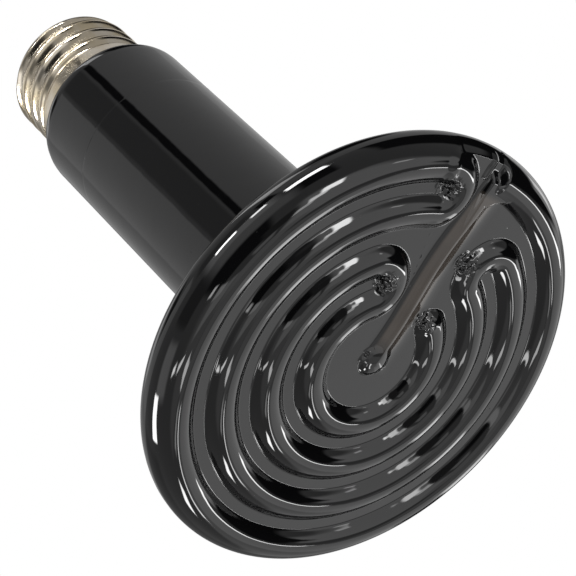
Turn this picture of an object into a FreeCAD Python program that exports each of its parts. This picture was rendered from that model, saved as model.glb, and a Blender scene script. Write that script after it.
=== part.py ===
import FreeCAD, Part
import math
import os

# Ceramic heat emitter: a glazed ceramic disc on a hollow neck with an E26 screw cap.
# Millimetres. Z is the axis, from the ridged face (crowns at z = 0) up to the cap's
# centre contact. X runs along the straight stem ridge of the face.

# Disc
disc_diameter = 82.0
rim_depth = 5.1            # from the ridge crowns to the widest circle of the disc
rim_back_radius = 4.7      # rounding of the disc's back edge
lip_inset = 1.4            # where no ridge covers it, the face's edge lies this far in
back_cone_angle = 8.0      # slope of the disc's back, degrees

# Heating ridges on the face
ridge_width = 5.8
ridge_height = 1.8
ridge_flat_count = 4       # a ridge's half-round back is made of this many flats,
fillet_flat_count = 3      # a large rounding of this many
edge_flat_count = 2        # and a small one of this many, which keeps the solids light
ring_count = 4
first_ring_radius = 11.95  # to the crown of the innermost ring
ring_pitch = 8.35
outer_turn_angle = 343.0   # outermost ring turns back here into the next one
middle_turn_angle = 29.0   # third ring turns back here into the second one
inner_turn_angle = 320.0   # second ring turns back here into the innermost one
inner_end_angle = 35.0     # free end of the innermost ring
outer_start_angle = 3.5    # outermost ring starts here, beside the stem

# Stem ridge from the centre to the outermost ring: a low roof with a narrow flat back
stem_height = 1.0
stem_back_width = 0.4
near_flank_width = 1.9     # on the side of the outermost ring's turn
far_flank_width = 2.4      # on the side of the outermost ring's start
drop_diameter = 6.0        # rounded drop at the stem's inner end
drop_height = 1.2
drop_offset = 0.6          # from the disc's axis to the drop's middle
web_start = 31.8           # from here the top widens into the start of the outermost ring
web_side = 1.6             # and reaches this far past the axis
web_fillet = 3.0           # before it curves into the ring's foot
ridge_root = 1.0           # all ridges are rooted this deep in the disc

# Neck
neck_diameter = 31.6
neck_fillet = 8.0
shoulder_height = 95.7
shoulder_radius = 4.5
neck_bore_diameter = 22.0
bore_floor = 12.5
bore_top = 86.0
throat_diameter = 15.0
spigot_diameter = 22.6
spigot_length = 10.0

# Screw cap shell, E26
crest_diameter = 26.2
root_diameter = 24.2
shell_wall = 0.35
skirt_diameter = 25.5
skirt_length = 3.4
shell_length = 17.8
shell_end_radius = 2.2
lip_opening = 18.4

# Cement, insulator, contact and solder
cement_length = 8.6
insulator_flange = 1.6
insulator_clearance = 0.35  # from its flange to the shell's wall
insulator_rise = 3.4
insulator_top_diameter = 10.6
contact_diameter = 9.4
contact_thickness = 0.7
contact_chamfer = 0.3
solder_diameter = 4.2
solder_height = 0.8

# Leads
lead_offset = 5.2
lead_turn_depth = 1.0      # the centre lead turns inwards this far below the spigot's end
wire_diameter = 1.0
wire_clearance = 0.1
sleeve_diameter = 3.2
sleeve_top = 92.0
spigot_clearance = 0.7     # height of the shell's lead over the spigot's end
weld_gap = 0.05

Z_AXIS = FreeCAD.Vector(0, 0, 1)
ORIGIN = FreeCAD.Vector(0, 0, 0)

disc_radius = disc_diameter / 2
ring_radii = [first_ring_radius + ring_pitch * k for k in range(ring_count)]
turn_radius = ring_pitch / 2
ridge_half = ridge_width / 2
ridge_arc = (ridge_half ** 2 + ridge_height ** 2) / (2 * ridge_height)
shell_top = shoulder_height + shell_length
skirt_radius = skirt_diameter / 2
band_inner = root_diameter / 2 - shell_wall
wire_radius = wire_diameter / 2
wire_hole_radius = wire_radius + wire_clearance


def point(r, z, angle=0.0):
    """Point at radius r and height z in the half-plane at an angle in degrees."""
    a = math.radians(angle)
    return FreeCAD.Vector(r * math.cos(a), r * math.sin(a), z)


def arc_points(centre, start, end, flats):
    """Points along the short arc about a centre, from start to end, one flat apart."""
    first = start - centre
    last = end - centre
    turn = first.getAngle(last)
    points = []
    for k in range(flats + 1):
        share = k / flats
        spoke = first * math.sin((1 - share) * turn) + last * math.sin(share * turn)
        points.append(centre + spoke * (1 / math.sin(turn)))
    return points


def rounded_corner(before, corner, after, radius, flats):
    """Points that round one corner of a profile, tangent to both of its sides."""
    back = (before - corner).normalize()
    ahead = (after - corner).normalize()
    half = back.getAngle(ahead) / 2
    reach = radius / math.tan(half)
    centre = corner + (back + ahead).normalize() * (radius / math.sin(half))
    return arc_points(centre, corner + back * reach, corner + ahead * reach, flats)


def section(points):
    """Closed face through points of the XZ plane."""
    return Part.Face(Part.makePolygon(points + points[:1]))


def turned(points):
    """Solid of revolution about Z of a profile."""
    return section(points).revolve(ORIGIN, Z_AXIS, 360)


def disc_base():
    """Disc without its ridges: flat face, rounded rim, coned back and the neck."""
    lip = disc_radius - lip_inset
    drop = rim_depth - ridge_height
    rim_arc = (lip_inset ** 2 + drop ** 2) / (2 * lip_inset)
    back_z = rim_depth + rim_back_radius
    back_r = disc_radius - rim_back_radius
    neck_r = neck_diameter / 2
    cone_z = back_z + (back_r - neck_r) * math.tan(math.radians(back_cone_angle))
    spigot_r = spigot_diameter / 2
    bore_r = neck_bore_diameter / 2
    throat_r = throat_diameter / 2
    spigot_top = shoulder_height + spigot_length

    face_edge = point(lip, ridge_height)
    widest = point(disc_radius, rim_depth)
    back_edge = point(back_r, back_z)
    neck_foot = point(neck_r, cone_z)

    # The shoulder's rounding ends where the shell's skirt stands on a narrow ledge.
    ledge_reach = skirt_radius - neck_r + shoulder_radius
    arc_z = shoulder_height - math.sqrt(shoulder_radius ** 2 - ledge_reach ** 2)
    shoulder_start = point(neck_r, arc_z)
    shoulder_end = point(skirt_radius, shoulder_height)

    outline = [point(0, ridge_height)]
    outline += arc_points(point(disc_radius - rim_arc, rim_depth), face_edge, widest, edge_flat_count)
    outline += arc_points(point(back_r, rim_depth), widest, back_edge, fillet_flat_count)[1:]
    outline += rounded_corner(back_edge, neck_foot, shoulder_start, neck_fillet, fillet_flat_count)
    outline += arc_points(point(neck_r - shoulder_radius, arc_z), shoulder_start, shoulder_end, fillet_flat_count)
    outline += [
        point(spigot_r, shoulder_height),
        point(spigot_r, spigot_top),
        point(throat_r, spigot_top),
        point(throat_r, bore_top),
        point(bore_r, bore_top),
        point(bore_r, bore_floor),
        point(0, bore_floor),
    ]
    return turned(outline)


def ridge_back(centre_r, half, height):
    """Points over a half-round ridge about a radius, from its inner to its outer foot."""
    arc = (half ** 2 + height ** 2) / (2 * height)
    middle = point(centre_r, ridge_height - height + arc)
    inner_foot = point(centre_r - half, ridge_height)
    outer_foot = point(centre_r + half, ridge_height)
    return arc_points(middle, inner_foot, outer_foot, ridge_flat_count)


def ridge_section(centre_r, half, height):
    """Half-round ridge section about a radius, rooted in the disc."""
    root = ridge_height + ridge_root
    points = ridge_back(centre_r, half, height)
    return section(points + [point(centre_r + half, root), point(centre_r - half, root)])


def rim_section():
    """Outermost ridge: half-round inside, rolled over into the disc's widest circle outside.

    The roll is an arc that leaves the ridge's own arc and meets the widest circle upright.
    """
    crown_r = ring_radii[-1]
    reach = disc_radius - crown_r
    rise = rim_depth - ridge_arc
    roll = (reach ** 2 + rise ** 2 - ridge_arc ** 2) / (2 * (reach - ridge_arc))
    crown_centre = point(crown_r, ridge_arc)
    roll_centre = point(disc_radius - roll, rim_depth)
    blend = crown_centre + (crown_centre - roll_centre).normalize() * ridge_arc
    inner_foot = point(crown_r - ridge_half, ridge_height)
    widest = point(disc_radius, rim_depth)
    points = arc_points(crown_centre, inner_foot, blend, ridge_flat_count)
    points += arc_points(roll_centre, blend, widest, edge_flat_count)[1:]
    return section(points + [point(crown_r - ridge_half, rim_depth)])


def swept_ring(face, start, end):
    """Part of a ring about Z, from one angle to another."""
    face = face.copy()
    face.rotate(ORIGIN, Z_AXIS, start)
    return face.revolve(ORIGIN, Z_AXIS, end - start)


def hairpin(inner_ring, angle, forward):
    """U-turn that joins a ring to the next one out, on the side of larger angles if forward."""
    middle = (ring_radii[inner_ring] + ring_radii[inner_ring + 1]) / 2
    centre = point(middle, 0, angle)
    face = ridge_section(turn_radius, ridge_half, ridge_height)
    face.rotate(ORIGIN, Z_AXIS, angle if forward else angle - 180)
    face.translate(centre)
    return face.revolve(centre, Z_AXIS, 180)


def dome(centre, half, height):
    """Rounded free end of a ridge."""
    root = ridge_height + ridge_root
    outer = [p for p in ridge_back(0, half, height) if p.x > 1e-6]
    top = point(0, ridge_height - height)
    solid = turned([top] + outer + [point(half, root), point(0, root)])
    solid.translate(centre)
    return solid


def stem():
    """Straight ridge along X: a low roof with unlike flanks, and a rounded drop at its inner end."""
    top = ridge_height - stem_height
    root = ridge_height + ridge_root
    half = stem_back_width / 2
    near_foot = -half - near_flank_width
    far_foot = half + far_flank_width
    face = section([
        point(near_foot, ridge_height),
        point(-half, top),
        point(half, top),
        point(far_foot, ridge_height),
        point(far_foot, root),
        point(near_foot, root),
    ])
    face.rotate(ORIGIN, Z_AXIS, 90)
    face.translate(point(drop_offset, 0))
    ridge = face.extrude(point(ring_radii[-1] - drop_offset, 0))
    return [ridge, dome(point(drop_offset, 0), drop_diameter / 2, drop_height)]


def stem_web():
    """Flat web that widens the stem's back and curves into the inner foot of the outermost ring."""
    top = ridge_height - stem_height
    root = ridge_height + ridge_root
    crown = ring_radii[-1]
    centre_r = crown - ridge_half - web_fillet
    centre_y = web_side + web_fillet
    centre_x = math.sqrt(centre_r ** 2 - centre_y ** 2)
    centre = FreeCAD.Vector(centre_x, centre_y, top)
    lead_in = math.sqrt(web_fillet ** 2 - (web_start - centre_x) ** 2)
    fillet_start = FreeCAD.Vector(web_start, centre_y - lead_in, top)
    fillet_end = FreeCAD.Vector(centre_x, centre_y, 0) * (1 + web_fillet / centre_r)
    fillet_end.z = top
    outline = [FreeCAD.Vector(web_start, 0, top)]
    outline += arc_points(centre, fillet_start, fillet_end, fillet_flat_count)
    outline += [FreeCAD.Vector(crown, fillet_end.y, top), FreeCAD.Vector(crown, -near_flank_width, top)]
    return Part.Face(Part.makePolygon(outline + outline[:1])).extrude(FreeCAD.Vector(0, 0, root - top))


def ceramic_body():
    """One casting: disc, hollow neck and the ridge that winds to and fro over the face."""
    plain = [ridge_section(radius, ridge_half, ridge_height) for radius in ring_radii[:-1]]
    rings = [
        dome(point(ring_radii[3], 0, outer_start_angle), ridge_half, ridge_height),
        swept_ring(rim_section(), outer_start_angle, outer_turn_angle),
        hairpin(2, outer_turn_angle, True),
        swept_ring(plain[2], middle_turn_angle, outer_turn_angle),
        hairpin(1, middle_turn_angle, False),
        swept_ring(plain[1], middle_turn_angle, inner_turn_angle),
        hairpin(0, inner_turn_angle, True),
        swept_ring(plain[0], inner_end_angle, inner_turn_angle),
        dome(point(ring_radii[0], 0, inner_end_angle), ridge_half, ridge_height),
    ]
    body = disc_base().fuse(rings + stem() + [stem_web()])
    return body.removeSplitter()


def screw_shell():
    """Rolled shell: plain skirt, the thread's band and a lip round the insulator.

    The band is the thread's envelope, from the wall behind its roots out to its crests.
    """
    base = shoulder_height
    skirt_top = base + skirt_length
    crest = crest_diameter / 2
    lip = lip_opening / 2
    band_foot = point(crest, skirt_top + crest - skirt_radius)
    corner = point(crest, shell_top)
    lip_edge = point(lip, shell_top)
    return turned([
        point(band_inner, base),
        point(skirt_radius, base),
        point(skirt_radius, skirt_top),
        band_foot,
        *rounded_corner(band_foot, corner, lip_edge, shell_end_radius, edge_flat_count),
        lip_edge,
        point(lip, shell_top - shell_wall),
        point(band_inner, shell_top - shell_wall),
    ])


def cap_cement():
    """Ring of cement between the ceramic spigot and the shell."""
    inner = spigot_diameter / 2
    top = shoulder_height + cement_length
    return turned([
        point(inner, shoulder_height),
        point(band_inner, shoulder_height),
        point(band_inner, top),
        point(inner, top),
    ])


def base_insulator():
    """Black glass button in the shell's lip, with a hole for the centre lead."""
    lip = lip_opening / 2
    flange = band_inner - insulator_clearance
    under = shell_top - shell_wall
    top = shell_top + insulator_rise
    return turned([
        point(wire_hole_radius, under - insulator_flange),
        point(flange, under - insulator_flange),
        point(flange, under),
        point(lip, under),
        point(lip, shell_top),
        point(insulator_top_diameter / 2, top),
        point(wire_hole_radius, top),
    ])


def centre_contact():
    """Flat contact disc on the insulator, with the lead's hole."""
    base = shell_top + insulator_rise
    top = base + contact_thickness
    radius = contact_diameter / 2
    return turned([
        point(wire_hole_radius, base),
        point(radius, base),
        point(radius, top - contact_chamfer),
        point(radius - contact_chamfer, top),
        point(wire_hole_radius, top),
    ])


def contact_solder():
    """Low dome of solder over the lead's end."""
    base = shell_top + insulator_rise + contact_thickness
    half = solder_diameter / 2
    radius = (half ** 2 + solder_height ** 2) / (2 * solder_height)
    foot = point(half, base)
    top = point(0, base + solder_height)
    return turned([point(0, base)] + arc_points(point(0, top.z - radius), foot, top, edge_flat_count))


def bent_wire(points, radius):
    """Round wire along straight runs with mitred bends."""
    path = Part.makePolygon(points)
    circle = Part.Wire(Part.Circle(points[0], points[1] - points[0], radius).toShape())
    return path.makePipeShell([circle], True, False, 1)


def lead_wire_centre():
    """Lead from the ceramic to the centre contact."""
    turn_z = shoulder_height + spigot_length - lead_turn_depth
    over_z = turn_z + lead_offset
    contact_z = shell_top + insulator_rise + contact_thickness
    route = [point(lead_offset, bore_floor), point(lead_offset, turn_z), point(0, over_z), point(0, contact_z)]
    return bent_wire(route, wire_radius)


def lead_wire_shell():
    """Lead from the ceramic over the spigot's edge to the shell's inner wall."""
    over_z = shoulder_height + spigot_length + spigot_clearance + wire_radius
    route = [point(-lead_offset, bore_floor), point(-lead_offset, over_z), point(-band_inner + weld_gap, over_z)]
    return bent_wire(route, wire_radius)


def lead_sleeve(side):
    """Insulating tube over one lead, standing on the bore's floor."""
    base = FreeCAD.Vector(side * lead_offset, 0, bore_floor)
    length = sleeve_top - bore_floor
    outer = Part.makeCylinder(sleeve_diameter / 2, length, base)
    return outer.cut(Part.makeCylinder(wire_hole_radius, length, base))


def main():
    os.makedirs("parts", exist_ok=True)
    nodes = {
        "ceramic_body": ceramic_body(),
        "screw_shell": screw_shell(),
        "cap_cement": cap_cement(),
        "base_insulator": base_insulator(),
        "centre_contact": centre_contact(),
        "contact_solder": contact_solder(),
        "lead_wire_centre": lead_wire_centre(),
        "lead_wire_shell": lead_wire_shell(),
        "lead_sleeve_centre": lead_sleeve(1),
        "lead_sleeve_shell": lead_sleeve(-1),
    }
    for name, shape in nodes.items():
        if shape.ShapeType != "Solid" and len(shape.Solids) == 1:
            shape = shape.Solids[0]
        box = shape.BoundBox
        print(name, shape.ShapeType, shape.isValid(), "volume %.1f" % shape.Volume,
              "z %.2f to %.2f" % (box.ZMin, box.ZMax))
        shape.exportStep("parts/%s.step" % name)


main()
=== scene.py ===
"""Looks of the ceramic heat emitter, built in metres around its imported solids."""
import logging
from dataclasses import dataclass
from enum import Enum

import bpy
import numpy as np
from mathutils import Matrix, Vector


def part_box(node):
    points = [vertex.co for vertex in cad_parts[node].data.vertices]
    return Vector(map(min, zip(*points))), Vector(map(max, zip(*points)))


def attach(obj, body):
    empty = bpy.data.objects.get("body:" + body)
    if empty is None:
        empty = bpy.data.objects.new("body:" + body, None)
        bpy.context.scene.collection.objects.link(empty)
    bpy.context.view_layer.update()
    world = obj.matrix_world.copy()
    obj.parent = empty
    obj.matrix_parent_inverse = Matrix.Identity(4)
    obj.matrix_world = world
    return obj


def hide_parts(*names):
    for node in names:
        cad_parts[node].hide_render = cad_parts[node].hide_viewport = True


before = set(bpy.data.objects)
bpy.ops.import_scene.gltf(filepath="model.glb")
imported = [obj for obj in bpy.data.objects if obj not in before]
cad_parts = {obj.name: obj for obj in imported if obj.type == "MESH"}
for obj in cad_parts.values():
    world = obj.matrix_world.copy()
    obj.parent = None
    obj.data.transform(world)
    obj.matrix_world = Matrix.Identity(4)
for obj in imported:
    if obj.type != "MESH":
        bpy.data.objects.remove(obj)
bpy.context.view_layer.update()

MM = 0.001
log = logging.getLogger("heat_emitter")


class Closure(Enum):
    """How the first and last rows of a turned grid are closed."""

    POLES = "each of them shrinks to one point on the axis"
    LOOP = "the last row joins the first"


def node_size(node: str) -> tuple[float, float, float]:
    """Outer radius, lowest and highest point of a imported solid.

    Args:
        node: name of the solid.

    Returns:
        Its radius across X, its low end and its high end along Z, in millimetres.
    """
    low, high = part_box(node)
    return (high[0] - low[0]) / 2 / MM, low[2] / MM, high[2] / MM


def arc(centre: tuple[float, float], radius: float, start: float, end: float, count: int) -> np.ndarray:
    """Points (r, z) of an arc: centre + radius * (cos t, sin t), t from start to end in degrees.

    Args:
        centre: r and z of the centre.
        radius: of the arc.
        start: first angle.
        end: last angle.
        count: number of points.

    Returns:
        Array of shape (count, 2).
    """
    t = np.radians(np.linspace(start, end, count))
    return np.stack([centre[0] + radius * np.cos(t), centre[1] + radius * np.sin(t)], axis=1)


def even_angles(count: int) -> np.ndarray:
    """Angles of evenly spaced columns once round, in radians."""
    return np.linspace(0, 2 * np.pi, count, endpoint=False)


def spread(profile: np.ndarray, columns: int) -> tuple[np.ndarray, np.ndarray]:
    """Radii and heights of a profile's points, each repeated over the columns of a turned grid."""
    return tuple(np.repeat(profile[:, k:k + 1], columns, axis=1) for k in (0, 1))


def by_density(sample: np.ndarray, density: np.ndarray, count: int, closed: bool) -> np.ndarray:
    """Values at equal shares of a density's running sum, so that they stand closer where it is high.

    Args:
        sample: rising values over the whole range.
        density: how close the result stands at each of them, up to a common factor.
        count: number of values wanted.
        closed: whether the range closes on itself, so that its end isn't repeated.

    Returns:
        Rising values, shape (count,).
    """
    total = np.concatenate([[0], np.cumsum((density[1:] + density[:-1]) / 2)])
    share = np.linspace(0, total[-1], count, endpoint=not closed)
    return np.interp(share, total, sample)


def turned_mesh(name: str, r: np.ndarray, z: np.ndarray, angle: np.ndarray, closure: Closure
                ) -> bpy.types.Object:
    """Closed smooth mesh of a turned grid: x = r cos a, y = r sin a.

    Args:
        name: of the new piece.
        r: radii in millimetres, shape (rows, columns).
        z: heights in millimetres, same shape.
        angle: of each column in radians, rising once round.
        closure: how the first and last rows close.

    Returns:
        The object, linked to the scene, with its place in its mesh.
    """
    rows, columns = r.shape
    grid = np.stack([r * np.cos(angle), r * np.sin(angle), z], axis=-1).reshape(-1, 3) * MM
    index = np.arange(rows * columns).reshape(rows, columns)
    if closure is Closure.POLES:
        index[0], index[-1] = 0, 1
        index[1:-1] = np.arange(2, 2 + (rows - 2) * columns).reshape(rows - 2, columns)
        grid = np.concatenate([grid[:1], grid[-1:], grid[columns:-columns]])
    else:
        index = np.concatenate([index, index[:1]])
    beside = np.roll(index, -1, axis=1)
    quads = np.stack([index[:-1], beside[:-1], beside[1:], index[1:]], axis=-1)
    if closure is Closure.POLES:
        first, last, quads = quads[0][:, [0, 2, 3]], quads[-1][:, [0, 1, 3]], quads[1:-1]
        triangles = np.concatenate([first, last])
    else:
        triangles = np.empty((0, 3), dtype=int)
    quads = quads.reshape(-1, 4)
    mesh = bpy.data.meshes.new(name)
    mesh.vertices.add(len(grid))
    mesh.vertices.foreach_set("co", grid.ravel())
    sizes = np.concatenate([np.full(len(quads), 4), np.full(len(triangles), 3)])
    mesh.loops.add(int(sizes.sum()))
    mesh.loops.foreach_set("vertex_index", np.concatenate([quads.ravel(), triangles.ravel()]))
    mesh.polygons.add(len(sizes))
    mesh.polygons.foreach_set("loop_start", np.concatenate([[0], np.cumsum(sizes)[:-1]]))
    mesh.polygons.foreach_set("use_smooth", np.ones(len(sizes), dtype=bool))
    mesh.update(calc_edges=True)
    mesh.validate()
    piece = bpy.data.objects.new(name, mesh)
    bpy.context.scene.collection.objects.link(piece)
    return piece


def place(piece: bpy.types.Object, stands_for: str, material: bpy.types.Material) -> None:
    """Puts a new piece in its solid's stead, on the one body, with its finish.

    Args:
        piece: the new piece.
        stands_for: name of the solid that it replaces.
        material: its finish.
    """
    piece.data.materials.append(material)
    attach(piece, "root")
    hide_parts(stands_for)
    log.info("%s: %d faces", piece.name, len(piece.data.polygons))


def linear(colour: str) -> tuple[float, float, float, float]:
    """Turns an sRGB colour to the linear one that a shader takes.

    Args:
        colour: hex value such as "#808080".

    Returns:
        Red, green and blue from 0 to 1, and an alpha of 1.
    """
    values = np.array([int(colour[i:i + 2], 16) for i in (1, 3, 5)]) / 255
    low, high = values / 12.92, ((values + 0.055) / 1.055) ** 2.4
    return (*np.where(values <= 0.04045, low, high).tolist(), 1.0)


def pattern_scale(size_mm: float) -> float:
    """Scale, on coordinates in metres, of a pattern whose cells are so many millimetres wide."""
    return 1 / (size_mm * MM)


def add_node(tree: bpy.types.NodeTree, kind: str, inputs: dict | None = None, **settings: object
             ) -> bpy.types.Node:
    """Adds one node with its settings, values and links.

    Args:
        tree: node tree that takes it.
        kind: Blender's name of the node type.
        inputs: values or output sockets by input name or number.
        **settings: the node's own properties.

    Returns:
        The new node.
    """
    new = tree.nodes.new(kind)
    for key, value in settings.items():
        setattr(new, key, value)
    for key, value in (inputs or {}).items():
        if isinstance(value, bpy.types.NodeSocket):
            tree.links.new(value, new.inputs[key])
        else:
            new.inputs[key].default_value = value
    return new


def new_material(name: str) -> tuple[bpy.types.Material, bpy.types.NodeTree, bpy.types.NodeSocket]:
    """Makes a material that has no nodes yet apart from its coordinates.

    Args:
        name: of the material.

    Returns:
        The material, its tree, and the socket of the object coordinates in metres.
    """
    material = bpy.data.materials.new(name)
    material.use_nodes = True
    tree = material.node_tree
    tree.nodes.clear()
    place_on = add_node(tree, "ShaderNodeTexCoord").outputs["Object"]
    return material, tree, place_on


def smooth_union(a: np.ndarray | float, b: np.ndarray, fillet: float) -> np.ndarray:
    """Greater of two heights, rounded where they cross.

    Args:
        a: one height.
        b: the other.
        fillet: difference of the heights at which the rounding starts.

    Returns:
        max(a, b) + max(fillet - |a - b|, 0)^2 / (4 fillet).
    """
    return np.maximum(a, b) + np.maximum(fillet - np.abs(a - b), 0) ** 2 / (4 * fillet)


def smooth_least(a: np.ndarray | float, b: np.ndarray, rounding: float) -> np.ndarray:
    """Smaller of two heights, rounded where they cross."""
    return -smooth_union(-a, -b, rounding)


def to_arc(x: np.ndarray, y: np.ndarray, centre: complex, radius: float, start: float, end: float
           ) -> np.ndarray:
    """Distance in plan from each point to an arc, its ends included.

    Args:
        x: abscissas in millimetres.
        y: ordinates.
        centre: of the arc, as x + iy.
        radius: of the arc.
        start: first angle in degrees.
        end: last angle, greater than the first.

    Returns:
        | |p - centre| - radius | beside the arc, and the distance to the nearer end elsewhere.
    """
    offset = x + 1j * y - centre
    turn = np.degrees(np.angle(offset)) - start
    beside = np.mod(turn, 360) <= end - start
    tips = centre + radius * np.exp(1j * np.radians([start, end]))
    near_tip = np.minimum(np.abs(x + 1j * y - tips[0]), np.abs(x + 1j * y - tips[1]))
    return np.where(beside, np.abs(np.abs(offset) - radius), near_tip)


@dataclass
class CeramicBody:
    """The black glazed casting: ridged face, disc, hollow neck and spigot, in millimetres and degrees."""

    radius: float
    spigot_end: float
    shoulder: float
    flats_height: float = 1.8
    widest_height: float = 5.1
    lip_inset: float = 1.4
    ridge_half: float = 2.9
    ridge_height: float = 1.8
    foot_fillet: float = 0.8
    floor_fillet: float = 0.8
    inner_ring: float = 11.95
    ring_pitch: float = 8.35
    outer_span: tuple[float, float] = (2.3, 343.0)
    end_ramp: float = 1.6
    ramp_rise: float = 1.3
    ramp_rounding: float = 0.3
    middle_turn: float = 29.0
    inner_turn: float = 320.0
    free_end: float = 35.0

    # The stem's roof, and the drop over the axis.
    stem_height: float = 1.0
    stem_back: float = 0.4
    near_flank: float = 1.8
    far_flank: float = 2.3
    stem_bow: float = 0.45
    bow_length: float = 30.0
    bow_share: float = 0.2
    bow_offset: float = 0.1
    closing_lead: float = 5.0
    closing_length: float = 7.0
    closing_share: float = 0.6
    near_rounding: float = 0.1
    far_rounding: float = 0.2
    end_rounding: float = 0.5
    stem_overrun: float = 0.6
    stem_tail: float = 1.2
    stem_fillet: float = 0.4
    drop_radius: float = 2.8
    drop_height: float = 1.15
    drop_centre: tuple[float, float] = (0.6, 0.1)
    drop_fillet: float = 0.8

    # The web at the rim, and the thin crest over the lip.
    web_wall: float = 0.4
    web_start: float = 31.8
    web_side: float = 1.6
    web_fillet: float = 3.0
    web_end_rounding: float = 0.8
    web_side_rounding: float = 0.4
    crest_start: float = 36.4
    crest_end: float = 40.1
    crest_side: float = -2.45
    crest_half: float = 0.55
    crest_height: float = 0.42
    crest_fillet: float = 0.15

    # Back, neck, spigot and bore. A seam row is its height beside the seam and its share of the depth.
    back_radius: float = 4.7
    back_start: float = 8.0
    back_slope: float = 8.0
    neck_radius: float = 15.8
    neck_fillet: float = 8.0
    neck_row: float = 6.0
    seam_height: float = 76.5
    seam_depth: float = 0.02
    seam_rows: tuple[tuple[float, float], ...] = (
        (-0.5, 0.0), (-0.3, 0.0), (0.0, 0.0), (0.15, 1.0), (0.6, 0.0), (0.8, 0.0))
    shoulder_row: float = 1.0
    shoulder_radius: float = 4.5
    shoulder_turn: float = 80.0
    shoulder_gap: float = 0.05
    spigot_radius: float = 11.3
    throat_radius: float = 7.5
    bore_radius: float = 11.0
    bore_floor: float = 12.5
    bore_top: float = 86.0

    # Counts of the grid, and where its columns and rows stand closer.
    columns: int = 450
    column_samples: int = 3601
    close_half: float = 46.0
    close_edge: float = 0.03
    close_gain: float = 2.0
    face_rows: int = 160
    face_samples: int = 2001
    knee_inset: float = 1.2
    knee_rows: int = 12
    rim_lead: float = 1.0
    rim_gain: float = 0.6
    foot_gain: float = 1.6
    foot_reach: float = 0.55
    arc_rows: int = 12
    shoulder_rows: int = 10

    # Where the glaze is thin, and where it has bubbled, at points x + iy of the face.
    face_depth: float = 1.0
    thin_margin: float = 0.1
    thin_rise: float = 0.25
    thin_start: float = 2.0
    thin_run: float = 3.0
    thin_overlap: float = 0.3
    bubble_places: tuple[complex, ...] = (32.5 - 9.2j, 13.9 - 9.2j, 10.3 + 4.7j, 22.0 + 5.0j)
    bubble_reach: float = 1.9

    @property
    def crowns(self) -> np.ndarray:
        """Radii of the four rings' crowns, from the innermost."""
        return self.inner_ring + self.ring_pitch * np.arange(4)

    def ridge_profile(self, distance: np.ndarray, half: float, height: float) -> np.ndarray:
        """Height of a half-round ridge at a distance from its middle line.

        Args:
            distance: from the middle line, in plan.
            half: half the ridge's width at its foot.
            height: of its crown.

        Returns:
            height - R + sqrt(R^2 - d^2) with R = (half^2 + height^2) / (2 height), and past the foot the
            straight line that leaves it at the foot's slope.
        """
        big = (half ** 2 + height ** 2) / (2 * height)
        inside = height - big + np.sqrt(np.maximum(big ** 2 - distance ** 2, 0))
        slope = half / (big - height)
        return np.where(distance < half, inside, (half - distance) * slope)

    def winding_distance(self, x: np.ndarray, y: np.ndarray) -> np.ndarray:
        """Distance in plan from the middle line of the winding ridge, the outermost ring apart.

        Args:
            x: abscissas in millimetres.
            y: ordinates.

        Returns:
            Least of the distances to the three inner rings' arcs and to the three hairpins.
        """
        rings = self.crowns
        turn = self.ring_pitch / 2
        outer_end = self.outer_span[1]
        lines = [
            to_arc(x, y, 0, rings[2], self.middle_turn, outer_end),
            to_arc(x, y, 0, rings[1], self.middle_turn, self.inner_turn),
            to_arc(x, y, 0, rings[0], self.free_end, self.inner_turn),
        ]
        for inner, angle, side in ((2, outer_end, 0), (1, self.middle_turn, 180), (0, self.inner_turn, 0)):
            centre = (rings[inner] + turn) * np.exp(1j * np.radians(angle))
            lines.append(to_arc(x, y, centre, turn, angle + side, angle + side + 180))
        return np.minimum.reduce(lines)

    def lip(self, r: np.ndarray) -> np.ndarray:
        """Height of the face without ridges.

        Args:
            r: distance from the axis.

        Returns:
            The flats' height, then an arc that meets the widest circle upright, z = z0 - sqrt(R^2 - d^2).
        """
        drop = self.widest_height - self.flats_height
        big = (self.lip_inset ** 2 + drop ** 2) / (2 * self.lip_inset)
        reach = np.clip(r - self.radius + big, 0, big)
        return np.where(r < self.radius - self.lip_inset, self.flats_height,
                        self.widest_height - np.sqrt(big ** 2 - reach ** 2))

    def rim_roll(self, r: np.ndarray) -> np.ndarray:
        """Height of the outermost ring's section: half-round inside, rolled into the widest circle.

        Args:
            r: distance from the axis.

        Returns:
            The ridge's profile inside, and outside the arc that is tangent to it and to the upright rim.
        """
        crown = self.crowns[-1]
        big = (self.ridge_half ** 2 + self.ridge_height ** 2) / (2 * self.ridge_height)
        reach, rise = self.radius - crown, self.widest_height - big
        roll = (reach ** 2 + rise ** 2 - big ** 2) / (2 * (reach - big))
        blend = crown + big * (crown - self.radius + roll) / (roll - big)
        inside = self.flats_height - self.ridge_profile(np.abs(r - crown), self.ridge_half, self.ridge_height)
        outside = self.widest_height - np.sqrt(np.maximum(roll ** 2 - (r - self.radius + roll) ** 2, 0))
        return np.where(r < blend, inside, outside)

    def outer_ring(self, r: np.ndarray, angle: np.ndarray, lip: np.ndarray) -> np.ndarray:
        """Height of the outermost ring over the lip: its section, ramped down shortly at both ends.

        Args:
            r: distance from the axis.
            angle: about the axis, in radians.
            lip: height of the face without ridges.

        Returns:
            The section's height times a ramp that falls from 1 to 0 past each end, and -1 further out.
        """
        start, end = self.outer_span
        turn = np.mod(np.degrees(angle) - start, 360)
        past = np.radians(np.minimum(np.maximum(turn - end + start, 0), 360 - turn)) * r
        ramp = smooth_least(1.0, self.ramp_rise * (1 - past / self.end_ramp), self.ramp_rounding)
        height = (lip - self.rim_roll(r)) * np.where(turn <= end - start, 1, np.maximum(ramp, 0))
        return np.where((past < self.end_ramp) | (turn <= end - start), height, -1)

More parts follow.
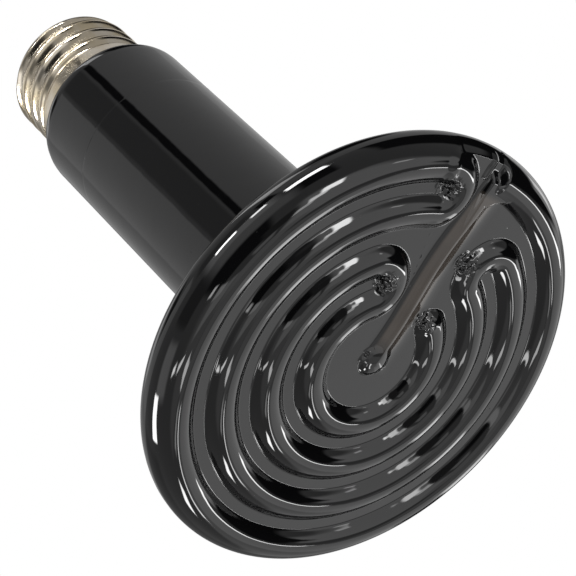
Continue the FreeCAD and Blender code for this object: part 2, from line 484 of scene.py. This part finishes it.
    def web(self, x: np.ndarray, y: np.ndarray) -> np.ndarray:
        """Plan distance inside the web, which widens the stem's top and curves into the outermost ring.

        Args:
            x: distance along the stem.
            y: distance beside it.

        Returns:
            Least of the distances to the fillet's circle, to the web's start and to the line from the axis
            to the circle's centre, rounded.
        """
        reach = self.crowns[-1] - self.ridge_half - self.web_fillet
        centre_y = self.web_side + self.web_fillet
        centre_x = np.sqrt(reach ** 2 - centre_y ** 2)
        outside = np.hypot(x - centre_x, y - centre_y) - self.web_fillet
        under = (x * centre_y - y * centre_x) / reach
        inside = smooth_least(outside, x - self.web_start, self.web_end_rounding)
        return smooth_least(inside, under, self.web_side_rounding)

    def stem(self, x: np.ndarray, y: np.ndarray) -> np.ndarray:
        """Height of the stem: a low roof, slightly bowed, and a drop over the axis.

        Args:
            x: distance along the stem.
            y: distance beside it.

        Returns:
            Least of the back's height and of the flanks' and the ends' slopes, joined to half an ellipsoid,
            height * sqrt(1 - (d / radius)^2), over the axis.
        """
        lead = self.bow_share * self.bow_length
        bow = self.stem_bow * np.cos(2 * np.pi * (x - lead) / self.bow_length) - self.bow_offset
        side = y - bow
        half = self.stem_back / 2
        closing = np.clip((x - self.web_start + self.closing_lead) / self.closing_length, 0, 1)
        near_run = self.near_flank * (1 - self.closing_share * closing)
        near = (side + half + self.near_flank) * self.stem_height / near_run
        far = (half + self.far_flank - side) * self.stem_height / self.far_flank
        far = np.maximum(far, self.web(x, y) * self.stem_height / self.web_wall)
        centre_x, centre_y = self.drop_centre
        ends = np.minimum(self.crowns[-1] - x + self.stem_overrun, x - centre_x + self.stem_tail)
        roof = smooth_least(smooth_least(self.stem_height, near, self.near_rounding), far, self.far_rounding)
        roof = smooth_least(roof, ends, self.end_rounding)
        apart = np.hypot(x - centre_x, y - centre_y) / self.drop_radius
        drop = np.where(apart < 1, self.drop_height * np.sqrt(np.maximum(1 - apart ** 2, 0)), -1)
        return smooth_union(roof, drop, self.drop_fillet)

    def crest(self, x: np.ndarray, y: np.ndarray) -> np.ndarray:
        """Height of the thin straight crest that carries the stem's steep edge over the lip.

        Args:
            x: distance along the stem.
            y: distance beside it.

        Returns:
            A small ridge's profile about a straight line between the crest's two ends.
        """
        along = np.clip(x, self.crest_start, self.crest_end)
        apart = np.hypot(x - along, y - self.crest_side)
        return self.ridge_profile(apart, self.crest_half, self.crest_height)

    def face_height(self, r: np.ndarray, angle: np.ndarray) -> np.ndarray:
        """Height of the ridged face above the floor.

        Args:
            r: distance from the axis.
            angle: about the axis, in radians.

        Returns:
            lip(r) - relief(r, angle), the relief being the rounded union of the winding ridge, the
            outermost ring, the stem, the flats and the crest.
        """
        x, y = r * np.cos(angle), r * np.sin(angle)
        lip = self.lip(r)
        winding = self.ridge_profile(self.winding_distance(x, y), self.ridge_half, self.ridge_height)
        ridges = smooth_union(winding, self.outer_ring(r, angle, lip), self.foot_fillet)
        ridges = smooth_union(ridges, self.stem(x, y), self.stem_fillet)
        relief = smooth_union(ridges, np.zeros_like(r), self.floor_fillet)
        return lip - smooth_union(relief, self.crest(x, y), self.crest_fillet)

    def section(self) -> np.ndarray:
        """Turned part of the section, from the widest circle over back, neck, spigot and bore to the axis.

        Returns:
            Points (r, z) of the rounded back, its slope, the neck with its faint seam, the shoulder, the
            spigot, the throat and the bore.
        """
        back_z = self.widest_height + self.back_radius
        back_r = self.radius - self.back_radius
        neck = self.neck_radius
        slope = np.radians(self.back_slope)
        foot_z = back_z + (back_r - neck) * np.tan(slope)
        hollow_z = foot_z + np.tan((np.pi / 2 - slope) / 2) * self.neck_fillet
        hollow = (neck + self.neck_fillet, hollow_z)
        ledge = self.shoulder - self.shoulder_radius
        return np.concatenate([
            arc((back_r, self.widest_height), self.back_radius, self.back_start, 90, self.arc_rows),
            arc(hollow, self.neck_fillet, 270 - self.back_slope, 180, self.arc_rows),
            [(neck, hollow_z + self.neck_row)],
            [(neck - share * self.seam_depth, self.seam_height + rise) for rise, share in self.seam_rows],
            [(neck, ledge - self.shoulder_row)],
            arc((neck - self.shoulder_radius, ledge), self.shoulder_radius, 0, self.shoulder_turn,
                self.shoulder_rows),
            [(self.spigot_radius, self.shoulder - self.shoulder_gap), (self.spigot_radius, self.spigot_end)],
            [(self.throat_radius, self.spigot_end), (self.throat_radius, self.bore_top)],
            [(self.bore_radius, self.bore_top), (self.bore_radius, self.bore_floor), (0, self.bore_floor)],
        ])

    def column_angles(self) -> np.ndarray:
        """Angles of the columns, three times as close beside the stem and the hairpins as elsewhere.

        Returns:
            Angles in radians by a density of 1 + gain / (1 + exp((|angle| - half) / edge)).
        """
        sample = np.linspace(-np.pi, np.pi, self.column_samples)
        past = (np.abs(sample) - np.radians(self.close_half)) / self.close_edge
        return by_density(sample, 1 + self.close_gain / (1 + np.exp(past)), self.columns, closed=True)

    def face_radii(self) -> np.ndarray:
        """Radii of the face's rows, closest at the rings' feet.

        Returns:
            Radii from the axis to the widest circle, with r = R sin t where the rim turns upright.
        """
        knee = self.radius - self.knee_inset
        sample = np.linspace(0, knee, self.face_samples)
        density = 1 + self.rim_gain * (sample > self.web_start - self.rim_lead)
        for ring in self.crowns:
            for foot in (ring - self.ridge_half, ring + self.ridge_half):
                density = density + self.foot_gain * np.exp(-((sample - foot) / self.foot_reach) ** 2)
        plain = by_density(sample, density, self.face_rows, closed=False)
        rolled = knee + (self.radius - knee) * np.sin(np.linspace(0, np.pi / 2, self.knee_rows)[1:])
        return np.concatenate([plain, rolled])

    def paint(self, piece: bpy.types.Object) -> None:
        """Writes where the glaze is thin and where it has bubbled, from 0 to 1, as attributes of the mesh.

        Thin glaze follows the stem's and the web's height, and bubbles fade as exp(-(d / reach)^4).

        Args:
            piece: the casting.
        """
        points = np.empty(3 * len(piece.data.vertices))
        piece.data.vertices.foreach_get("co", points)
        x, y, z = points.reshape(-1, 3).T / MM
        on_face = z < self.widest_height - self.face_depth
        ring_foot = self.crowns[-1] - self.ridge_half
        inside_ring = np.clip(ring_foot + self.thin_overlap - np.hypot(x, y), 0, 1)
        on_stem = np.clip((self.stem(x, y) + self.thin_margin) / self.thin_rise, 0, 1)
        past_drop = np.clip((x - self.thin_start) / self.thin_run, 0, 1)
        thin = on_stem * past_drop * inside_ring
        apart = np.minimum.reduce([np.abs(x + 1j * y - spot) for spot in self.bubble_places])
        bubbles = np.exp(-(apart / self.bubble_reach) ** 4)
        for name, values in (("thin_glaze", thin * on_face), ("bubbles", bubbles * on_face)):
            layer = piece.data.attributes.new(name, "FLOAT", "POINT")
            layer.data.foreach_set("value", values.astype(np.float32))

    def build(self) -> bpy.types.Object:
        """Joins the face's rows, from the axis to the widest circle, to the turned section.

        Returns:
            The casting, with its attributes.
        """
        angle = self.column_angles()
        r, a = np.meshgrid(self.face_radii(), angle, indexing="ij")
        turned_r, turned_z = spread(self.section(), self.columns)
        rows_r = np.concatenate([r, turned_r])
        rows_z = np.concatenate([self.face_height(r, a), turned_z])
        piece = turned_mesh("glazed_ceramic", rows_r, rows_z, angle, Closure.POLES)
        self.paint(piece)
        return piece


@dataclass
class ScrewCap:
    """Rolled shell with its thread, and the contact's solder. Sizes in millimetres."""

    crest: float
    base: float
    top: float
    root: float = 12.1
    skirt: float = 12.75
    skirt_length: float = 3.4
    pitch: float = 3.629
    thread_lead: float = 0.3
    thread_breadth: float = 0.48
    run_in_length: float = 1.2
    wall: float = 0.35
    end_over_root: float = 0.6
    end_radius: float = 2.2
    end_start: float = 4.0
    lip: float = 9.2
    columns: int = 288
    rows: int = 120
    end_rows: int = 12
    inner_step: int = 4
    drop_columns: int = 64
    drop_rows: int = 14

    def thread_radius(self, z: np.ndarray, angle: np.ndarray) -> np.ndarray:
        """Outer radius of the skirt and of the rolled thread that it fades into.

        Args:
            z: heights in millimetres.
            angle: about the axis, in radians.

        Returns:
            root + depth * w^breadth, where w is half of 1 - cos 2 pi (z / pitch - angle / 2 pi).
        """
        run_in = self.base + self.skirt_length
        phase = (z - run_in) / self.pitch - angle / (2 * np.pi) - self.thread_lead
        wave = (0.5 - 0.5 * np.cos(2 * np.pi * phase)) ** self.thread_breadth
        threaded = self.root + (self.crest - self.root) * wave
        start = np.clip((z - run_in) / self.run_in_length, 0, 1)
        start = start * start * (3 - 2 * start)
        return self.skirt + (threaded - self.skirt) * start

    def shell(self) -> bpy.types.Object:
        """Outer wall with the thread, rounded end, lip, and the inner wall one sheet's thickness behind.

        Returns:
            The shell, a closed wall of thin sheet.
        """
        angle = even_angles(self.columns)
        end_z = self.top - self.end_radius
        z, a = np.meshgrid(np.linspace(self.base, end_z, self.rows), angle, indexing="ij")
        outer_r = self.thread_radius(z, a)
        end_r = self.root + self.end_over_root - self.end_radius
        end = arc((end_r, end_z), self.end_radius, self.end_start, 90, self.end_rows)
        under = self.top - self.wall
        lip = np.concatenate([end, [(self.lip, self.top), (self.lip, under), (end_r, under)]])
        lip_r, lip_z = spread(lip, self.columns)
        rows_r = np.concatenate([outer_r, lip_r, outer_r[::-self.inner_step] - self.wall])
        rows_z = np.concatenate([z, lip_z, z[::-self.inner_step]])
        return turned_mesh("threaded_shell", rows_r, rows_z, angle, Closure.LOOP)

    def solder(self, half: float, low: float, high: float) -> bpy.types.Object:
        """Drop of solder, a cap of a sphere closed by its flat foot.

        Args:
            half: radius of its foot.
            low: height of its foot.
            high: height of its top.

        Returns:
            The drop, with z = high - R + sqrt(R^2 - r^2).
        """
        rise = high - low
        big = (half ** 2 + rise ** 2) / (2 * rise)
        r = half * np.sin(np.linspace(0, np.pi / 2, self.drop_rows))[::-1]
        dome = np.stack([r, high - big + np.sqrt(big ** 2 - r ** 2)], axis=1)
        grid_r, grid_z = spread(np.concatenate([[(0, low)], dome]), self.drop_columns)
        return turned_mesh("solder_drop", grid_r, grid_z, even_angles(self.drop_columns), Closure.POLES)


@dataclass(frozen=True)
class BlackGlaze:
    """Glossy black glaze fired on cordierite ceramic: a glassy coat, thin and brownish over the stem."""

    body: str = "#0b0b0c"
    thin: str = "#4a433d"
    ior: float = 1.6
    roughness: float = 0.03
    dust_dulling: float = 0.05
    dust_mm: float = 2.5
    cloud_mm: float = 9.0
    ripple_mm: float = 7.0
    ripple_depth_mm: float = 0.05
    bubble_mm: float = 0.75
    bubble_depth_mm: float = 0.42
    pinhole_mm: float = 4.0
    pinhole_depth_mm: float = 0.04
    pinhole_share: float = 0.035

    def relief(self, tree: bpy.types.NodeTree, place_on: bpy.types.NodeSocket) -> bpy.types.NodeSocket:
        """Normal of the glaze: long ripples as it ran, bubbles where it pooled in hairpins, rare pinholes.

        Args:
            tree: the material's nodes.
            place_on: object coordinates in metres.

        Returns:
            Socket of the normal.
        """
        ripple = add_node(tree, "ShaderNodeTexNoise", {
            "Vector": place_on, "Scale": pattern_scale(self.ripple_mm), "Detail": 2.0, "Roughness": 0.45})
        long_waves = add_node(tree, "ShaderNodeBump", {
            "Height": ripple.outputs[0], "Distance": self.ripple_depth_mm * MM, "Strength": 1.0})
        cells = add_node(tree, "ShaderNodeTexVoronoi", {
            "Vector": place_on, "Scale": pattern_scale(self.bubble_mm)}, feature="SMOOTH_F1")
        where = add_node(tree, "ShaderNodeAttribute", attribute_name="bubbles")
        pooled = add_node(tree, "ShaderNodeMath", {0: cells.outputs["Distance"], 1: where.outputs["Fac"]},
                          operation="MULTIPLY")
        bubbles = add_node(tree, "ShaderNodeBump", {
            "Height": pooled.outputs[0], "Distance": self.bubble_depth_mm * MM, "Strength": 1.0,
            "Normal": long_waves.outputs[0]})
        holes = add_node(tree, "ShaderNodeTexVoronoi", {
            "Vector": place_on, "Scale": pattern_scale(self.pinhole_mm)})
        pits = add_node(tree, "ShaderNodeMapRange", {
            "Value": holes.outputs["Distance"], "From Min": 0.0, "From Max": self.pinhole_share,
            "To Min": -1.0, "To Max": 0.0})
        return add_node(tree, "ShaderNodeBump", {
            "Height": pits.outputs[0], "Distance": self.pinhole_depth_mm * MM, "Strength": 0.6,
            "Normal": bubbles.outputs[0]}).outputs[0]

    def material(self) -> bpy.types.Material:
        """Shader of a black glass: its brown body shows where it is thin, and dust dulls it a little.

        Returns:
            The material of the casting.
        """
        material, tree, place_on = new_material("black_glazed_ceramic")
        thin = add_node(tree, "ShaderNodeAttribute", attribute_name="thin_glaze")
        cloud = add_node(tree, "ShaderNodeTexNoise", {
            "Vector": place_on, "Scale": pattern_scale(self.cloud_mm), "Detail": 4.0})
        streaks = add_node(tree, "ShaderNodeMapRange", {
            "Value": cloud.outputs[0], "From Min": 0.3, "From Max": 0.7, "To Min": 0.75, "To Max": 1.0})
        share = add_node(tree, "ShaderNodeMath", {0: thin.outputs["Fac"], 1: streaks.outputs[0]},
                         operation="MULTIPLY")
        colour = add_node(tree, "ShaderNodeMix", {
            "Factor": share.outputs[0], "A": linear(self.body), "B": linear(self.thin)}, data_type="RGBA")
        dust = add_node(tree, "ShaderNodeTexNoise", {
            "Vector": place_on, "Scale": pattern_scale(self.dust_mm), "Detail": 5.0})
        dull = add_node(tree, "ShaderNodeMapRange", {
            "Value": dust.outputs[0], "From Min": 0.45, "From Max": 0.8, "To Min": self.roughness,
            "To Max": self.roughness + self.dust_dulling})
        shader = add_node(tree, "ShaderNodeBsdfPrincipled", {
            "Base Color": colour.outputs["Result"], "Roughness": dull.outputs[0], "IOR": self.ior,
            "Normal": self.relief(tree, place_on)})
        add_node(tree, "ShaderNodeOutputMaterial", {"Surface": shader.outputs[0]})
        return material


@dataclass(frozen=True)
class NickelPlate:
    """Nickel-plated rolled brass: bright and warm, browner where the plating is thin, with rolling marks.

    The real marks are too fine to show in the render, so they are drawn about one pixel wide.
    """

    colour: str = "#f6ecdc"
    thin: str = "#e6d6b8"
    roughness: float = 0.13
    smudge_dulling: float = 0.1
    smudge_mm: float = 5.0
    mark_mm: float = 0.25
    mark_depth_mm: float = 0.004
    mark_stretch: tuple[float, float, float] = (0.05, 0.05, 1.0)

    def material(self) -> bpy.types.Material:
        """Metallic shader: marks round the shell, drawn out along the turn, and smudges from handling.

        Returns:
            The material of the cap's shell.
        """
        material, tree, place_on = new_material("nickel_plated_brass")
        drawn = add_node(tree, "ShaderNodeMapping", {"Vector": place_on, "Scale": self.mark_stretch})
        marks = add_node(tree, "ShaderNodeTexNoise", {
            "Vector": drawn.outputs[0], "Scale": pattern_scale(self.mark_mm), "Detail": 3.0})
        relief = add_node(tree, "ShaderNodeBump", {
            "Height": marks.outputs[0], "Distance": self.mark_depth_mm * MM, "Strength": 1.0})
        smudge = add_node(tree, "ShaderNodeTexNoise", {
            "Vector": place_on, "Scale": pattern_scale(self.smudge_mm), "Detail": 5.0})
        dull = add_node(tree, "ShaderNodeMapRange", {
            "Value": smudge.outputs[0], "From Min": 0.35, "From Max": 0.75, "To Min": self.roughness,
            "To Max": self.roughness + self.smudge_dulling})
        tone = add_node(tree, "ShaderNodeMapRange", {
            "Value": smudge.outputs[0], "From Min": 0.35, "From Max": 0.65})
        colour = add_node(tree, "ShaderNodeMix", {
            "Factor": tone.outputs[0], "A": linear(self.colour), "B": linear(self.thin)}, data_type="RGBA")
        shader = add_node(tree, "ShaderNodeBsdfPrincipled", {
            "Base Color": colour.outputs["Result"], "Metallic": 1.0, "Roughness": dull.outputs[0],
            "Normal": relief.outputs[0]})
        add_node(tree, "ShaderNodeOutputMaterial", {"Surface": shader.outputs[0]})
        return material


@dataclass(frozen=True)
class PlainFinish:
    """A small part's finish: two tones of its colour, its gloss, and its grain's size and depth."""

    name: str
    colour: str
    shade: str
    roughness: float
    metallic: float = 0.0
    grain_mm: float = 0.5
    depth_mm: float = 0.03
    grains_per_cloud: float = 6.0

    def material(self) -> bpy.types.Material:
        """Principled shader: its tone drifts in soft clouds, and a finer grain dents and dulls it.

        Returns:
            The material of the finish.
        """
        material, tree, place_on = new_material(self.name)
        cloud = add_node(tree, "ShaderNodeTexNoise", {
            "Vector": place_on, "Scale": pattern_scale(self.grains_per_cloud * self.grain_mm), "Detail": 4.0})
        tone = add_node(tree, "ShaderNodeMapRange", {
            "Value": cloud.outputs[0], "From Min": 0.35, "From Max": 0.65})
        colour = add_node(tree, "ShaderNodeMix", {
            "Factor": tone.outputs[0], "A": linear(self.colour), "B": linear(self.shade)}, data_type="RGBA")
        grain = add_node(tree, "ShaderNodeTexNoise", {
            "Vector": place_on, "Scale": pattern_scale(self.grain_mm), "Detail": 3.0})
        relief = add_node(tree, "ShaderNodeBump", {
            "Height": grain.outputs[0], "Distance": self.depth_mm * MM, "Strength": 0.8})
        dull = add_node(tree, "ShaderNodeMapRange", {
            "Value": grain.outputs[0], "From Min": 0.3, "From Max": 0.7, "To Min": 0.9 * self.roughness,
            "To Max": 1.1 * self.roughness})
        shader = add_node(tree, "ShaderNodeBsdfPrincipled", {
            "Base Color": colour.outputs["Result"], "Metallic": self.metallic, "Roughness": dull.outputs[0],
            "Normal": relief.outputs[0]})
        add_node(tree, "ShaderNodeOutputMaterial", {"Surface": shader.outputs[0]})
        return material


# Tin solder, melted on: a dull bright metal.
SOLDER = PlainFinish("tin_solder", "#bdbdbb", "#9c9c9a", 0.3, metallic=1.0)
# Cap cement, set in an oven: pale, chalky and coarse.
CEMENT = PlainFinish("fired_cement", "#c9c4b8", "#b3ac9d", 0.9, depth_mm=0.08)
# Black glass, pressed hot into the shell: smooth, glossy and nearly black.
CAP_GLASS = PlainFinish("black_cap_glass", "#101012", "#1a191c", 0.12, depth_mm=0.01)
# Brass, stamped from sheet: a warm yellow metal, a little dull.
BRASS = PlainFinish("contact_brass", "#c9ab70", "#a98a52", 0.3, metallic=1.0)
# Nickel wire, drawn: a grey satin metal.
WIRE = PlainFinish("nickel_wire", "#b3aea6", "#8f8a82", 0.3, metallic=1.0)
# Unglazed ceramic, extruded and fired: matt, off-white and fine-grained.
SLEEVE = PlainFinish("white_ceramic_sleeve", "#e3dfd6", "#cfc8ba", 0.7)

KEPT_SOLIDS: dict[str, PlainFinish] = {
    "cap_cement": CEMENT,
    "base_insulator": CAP_GLASS,
    "centre_contact": BRASS,
    "lead_wire_centre": WIRE,
    "lead_sleeve_centre": SLEEVE,
    "lead_wire_shell": WIRE,
    "lead_sleeve_shell": SLEEVE,
}


@dataclass(frozen=True)
class Card:
    """One soft-edged card, strip or window of the studio, as gloss sees it. Angles in degrees."""

    use: str
    azimuth: float
    elevation: float
    half_width: float
    half_height: float
    edge: float
    level: float

    def share(self, tree: bpy.types.NodeTree, angle: bpy.types.NodeSocket, middle: float, half: float
              ) -> bpy.types.NodeSocket:
        """How much of the card lies at an angle, measured the short way round.

        Args:
            tree: the world's nodes.
            angle: azimuth or elevation of the direction, in radians.
            middle: the card's own, in degrees.
            half: half its width or height, in degrees.

        Returns:
            1 within half of the middle, falling to 0 over the soft edge.
        """
        turn = add_node(tree, "ShaderNodeMath", {0: angle, 1: np.radians(middle)}, operation="SUBTRACT")
        turn = add_node(tree, "ShaderNodeMath", {0: turn.outputs[0], 1: np.pi, 2: -np.pi}, operation="WRAP")
        turn = add_node(tree, "ShaderNodeMath", {0: turn.outputs[0]}, operation="ABSOLUTE")
        return add_node(tree, "ShaderNodeMapRange", {
            "Value": turn.outputs[0], "From Min": np.radians(half), "From Max": np.radians(half + self.edge),
            "To Min": 1.0, "To Max": 0.0}, interpolation_type="SMOOTHSTEP").outputs[0]

    def paint(self, tree: bpy.types.NodeTree, across: bpy.types.NodeSocket, upward: bpy.types.NodeSocket,
              level: bpy.types.NodeSocket) -> bpy.types.NodeSocket:
        """Lays the card over what is behind it.

        Args:
            tree: the world's nodes.
            across: azimuth of the direction.
            upward: elevation of the direction.
            level: brightness behind the card.

        Returns:
            The brightness with the card.
        """
        wide = self.share(tree, across, self.azimuth, self.half_width)
        high = self.share(tree, upward, self.elevation, self.half_height)
        cover = add_node(tree, "ShaderNodeMath", {0: wide, 1: high}, operation="MULTIPLY")
        over = add_node(tree, "ShaderNodeMix", {0: cover.outputs[0], 2: level, 3: self.level}, label=self.use)
        return over.outputs[0]


@dataclass
class Studio:
    """White surroundings, soft lamps, a pale floor and the photograph's camera."""

    camera_mm: tuple[float, float, float] = (70.098, -261.871, -231.916)
    right: tuple[float, float, float] = (0.54431, 0.66031, -0.51742)
    up: tuple[float, float, float] = (0.81733, -0.27854, 0.50436)
    focal_mm: float = 134.375
    sensor_mm: float = 36.0
    nearest_m: float = 0.01
    plain_level: float = 0.8
    base_level: float = 0.28
    echo_level: float = 1.2
    second_depth: float = 2.5
    floor_colour: str = "#f2f2f0"
    floor_width_m: float = 6.0
    cards: tuple[Card, ...] = (
        Card("ground east", 6, -56, 46, 20, 11, 1.1),
        Card("ground west", -152, -62, 40, 16, 10, 0.5),
        Card("ground south-west", -119, -64, 13, 9, 8, 1.05),
        Card("ground south", -68, -66, 8, 4, 5, 0.9),
        Card("ground north-west", 124, -24, 7, 24, 7, 0.65),
        Card("sheet north", 100, -24, 15, 25, 6, 1.08),
        Card("sheet north, near end", 79, -8, 5, 7, 4, 1.1),
        Card("ground north", 122, -70, 32, 11, 8, 0.6),
        Card("nadir", 0, -90, 180, 8, 8, 0.75),
        Card("black card east", 56, -12, 14, 32, 6, 0.0),
        Card("black card over it", 26, 26, 30, 14, 6, 0.0),
        Card("black card south", -82, -31, 17, 16, 7, 0.0),
        Card("black card south, end", -58, -49, 8, 6, 6, 0.08),
        Card("gap south-west", -108, 3, 8, 15, 6, 0.1),
        Card("gap south-east", -36, 14, 6, 13, 5, 0.0),
        Card("sheet west", -139, -2, 9, 9, 7, 1.0),
        Card("wall north-west", 152, 24, 26, 11, 9, 0.18),
        Card("sheet south", -74, 27, 16, 8, 9, 1.0),
        Card("sheet south, foot", -70, 4, 18, 8, 9, 0.6),
        Card("window north", 70, 22, 7, 17, 4, 0.8),
        Card("sky, west", 178, 65, 13, 8, 7, 1.1),
        Card("sky, dark south-west", -138, 63, 9, 5, 6, 0.02),
        Card("sky, dark east", 30, 64, 30, 5, 6, 0.0),
        Card("band, west", -146, 48, 36, 6, 3, 0.58),
        Card("band, south", -84, 48, 16, 6, 6, 0.16),
        Card("band, south-east", -55, 48, 4, 6, 3, 0.0),
        Card("band, east", 3, 48, 50, 6, 3, 0.42),
        Card("band, north", 73, 48, 17, 6, 3, 0.5),
        Card("band, north-west", 152, 48, 24, 6, 5, 0.42),
        Card("slit north, dark", 107, 10, 3, 14, 2, 0.0),
        Card("slit north, dark, low", 111, 0, 1.5, 9, 1.5, 0.0),
        Card("slit north", 106, -13, 1.5, 13, 1.5, 4.0),
        Card("lamp under", -40, -52, 5, 3, 3, 4.0),
        Card("lamp under, middle", -34, -45, 4, 2, 3, 8.0),
        Card("lamp south-east, low", -28, -38, 4, 2.5, 3, 14.0),
        Card("lamp south-west, low", -142, -41, 1.5, 5, 1.5, 8.0),
        Card("lamp south-west, middle", -140, -28, 1.5, 3, 1.5, 10.0),
        Card("lamp north-west, low", 153, -30, 2.5, 5, 2.5, 14.0),
        Card("softbox over the cap", -34, 77, 14, 16, 4, 2.2),
        Card("lamp east, low", 8, -36, 3, 1.0, 2, 3.5),
        Card("slit north, near", 83, -34, 1.0, 17, 1.5, 12.0),
        Card("slit north-west", 132, -45, 1.5, 8, 1.5, 9.0),
        Card("lamp west, under", 178, -62, 16, 1.8, 1.5, 6.0),
        Card("lamp over the drop", 150, -52, 3, 3, 3, 2.5),
        Card("lamp south, low", -102, -36, 2, 3, 2, 5.0),
        Card("lamp south-west", -104, -53, 3, 6, 3, 1.8),
        Card("window west", -160, 7, 9, 5, 2, 16.0),
        Card("lamp south", -82, 36, 6, 2.5, 1.5, 25.0),
        Card("lamp south-east", -62, 35, 4, 2.5, 1.5, 14.0),
        Card("lamp east", -38, 30, 9, 4, 2, 20.0),
        Card("lamp north-east", 68, 17, 4, 4, 2, 2.2),
    )

    def camera(self) -> None:
        """Camera below the face, turned about its own axis as the photograph is."""
        right, up = Vector(self.right).normalized(), Vector(self.up).normalized()
        back = right.cross(up).normalized()
        up = back.cross(right)
        turn = Matrix((right, up, back)).transposed().to_4x4()
        data = bpy.data.cameras.new("camera")
        data.lens = self.focal_mm
        data.sensor_width = self.sensor_mm
        data.clip_start = self.nearest_m
        camera = bpy.data.objects.new("camera", data)
        camera.matrix_world = Matrix.Translation(Vector(self.camera_mm) * MM) @ turn
        bpy.context.scene.collection.objects.link(camera)
        bpy.context.scene.camera = camera

    def card_level(self, tree: bpy.types.NodeTree) -> bpy.types.NodeSocket:
        """Brightness in each direction: the cards laid over a plain base, in their order.

        Args:
            tree: the world's nodes.

        Returns:
            Socket of the brightness.
        """
        direction = add_node(tree, "ShaderNodeTexCoord").outputs["Generated"]
        parts = add_node(tree, "ShaderNodeSeparateXYZ", {0: direction}).outputs
        across = add_node(tree, "ShaderNodeMath", {0: parts[1], 1: parts[0]}, operation="ARCTAN2").outputs[0]
        upward = add_node(tree, "ShaderNodeMath", {0: parts[2]}, operation="ARCSINE").outputs[0]
        level = add_node(tree, "ShaderNodeValue").outputs[0]
        level.default_value = self.base_level
        for card in self.cards:
            level = card.paint(tree, across, upward, level)
        return level

    def world(self) -> None:
        """White where a camera ray leaves the scene; gloss sees the cards, and the rest a plain level.

        In a reflection of a reflection the lamps are held down, which keeps the ridges' feet free of specks.
        """
        world = bpy.data.worlds.new("studio")
        world.use_nodes = True
        tree = world.node_tree
        tree.nodes.clear()
        white = linear("#ffffff")
        level = self.card_level(tree)
        path = add_node(tree, "ShaderNodeLightPath")
        again = add_node(tree, "ShaderNodeMath", {0: path.outputs["Ray Depth"], 1: self.second_depth},
                         operation="GREATER_THAN")
        held = add_node(tree, "ShaderNodeMath", {0: level, 1: self.echo_level}, operation="MINIMUM")
        lamps = add_node(tree, "ShaderNodeMix", {0: again.outputs[0], 2: level, 3: held.outputs[0]})
        plain = add_node(tree, "ShaderNodeBackground", {"Color": white, "Strength": self.plain_level})
        rig = add_node(tree, "ShaderNodeBackground", {"Color": white, "Strength": lamps.outputs[0]})
        blank = add_node(tree, "ShaderNodeBackground", {"Color": white, "Strength": 1.0})
        gloss = add_node(tree, "ShaderNodeMixShader", {
            0: path.outputs["Is Glossy Ray"], 1: plain.outputs[0], 2: rig.outputs[0]})
        seen = add_node(tree, "ShaderNodeMath", {
            0: path.outputs["Is Camera Ray"], 1: path.outputs["Is Transmission Ray"]}, operation="MAXIMUM")
        both = add_node(tree, "ShaderNodeMixShader", {
            0: seen.outputs[0], 1: gloss.outputs[0], 2: blank.outputs[0]})
        add_node(tree, "ShaderNodeOutputWorld", {"Surface": both.outputs[0]})
        bpy.context.scene.world = world

    def floor(self) -> None:
        """Pale floor under the face, which shows from above only, so that light and camera reach the face."""
        material, tree, _ = new_material("pale_floor")
        path = add_node(tree, "ShaderNodeLightPath")
        facing = add_node(tree, "ShaderNodeNewGeometry").outputs["Backfacing"]
        above = add_node(tree, "ShaderNodeMath", {0: path.outputs["Is Camera Ray"], 1: facing},
                         operation="SUBTRACT", use_clamp=True)
        pale = add_node(tree, "ShaderNodeBsdfDiffuse", {"Color": linear(self.floor_colour)})
        clear = add_node(tree, "ShaderNodeBsdfTransparent")
        both = add_node(tree, "ShaderNodeMixShader", {
            0: above.outputs[0], 1: clear.outputs[0], 2: pale.outputs[0]})
        add_node(tree, "ShaderNodeOutputMaterial", {"Surface": both.outputs[0]})
        bpy.ops.mesh.primitive_plane_add(size=self.floor_width_m)
        floor = bpy.context.object
        floor.name = "floor"
        floor.data.materials.append(material)

    def build(self) -> None:
        """Camera, world and floor, seen in plain display colours."""
        bpy.context.scene.view_settings.view_transform = "Standard"
        self.camera()
        self.world()
        self.floor()


def dress_kept_solids() -> None:
    """Gives each solid that stays in the scene its own finish."""
    for node, finish in KEPT_SOLIDS.items():
        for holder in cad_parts[node].material_slots:
            holder.material = finish.material()
        log.info("%s keeps its solid", node)


def main() -> None:
    """Builds the pieces in order and reports each."""
    logging.basicConfig(level=logging.INFO)
    radius, _, spigot_end = node_size("ceramic_body")
    crest, shell_base, shell_top = node_size("screw_shell")
    ceramic = CeramicBody(radius, spigot_end, shell_base)
    cap = ScrewCap(crest, shell_base, shell_top)
    place(ceramic.build(), "ceramic_body", BlackGlaze().material())
    place(cap.shell(), "screw_shell", NickelPlate().material())
    place(cap.solder(*node_size("contact_solder")), "contact_solder", SOLDER.material())
    dress_kept_solids()
    Studio().build()


if __name__ == "__main__":
    main()
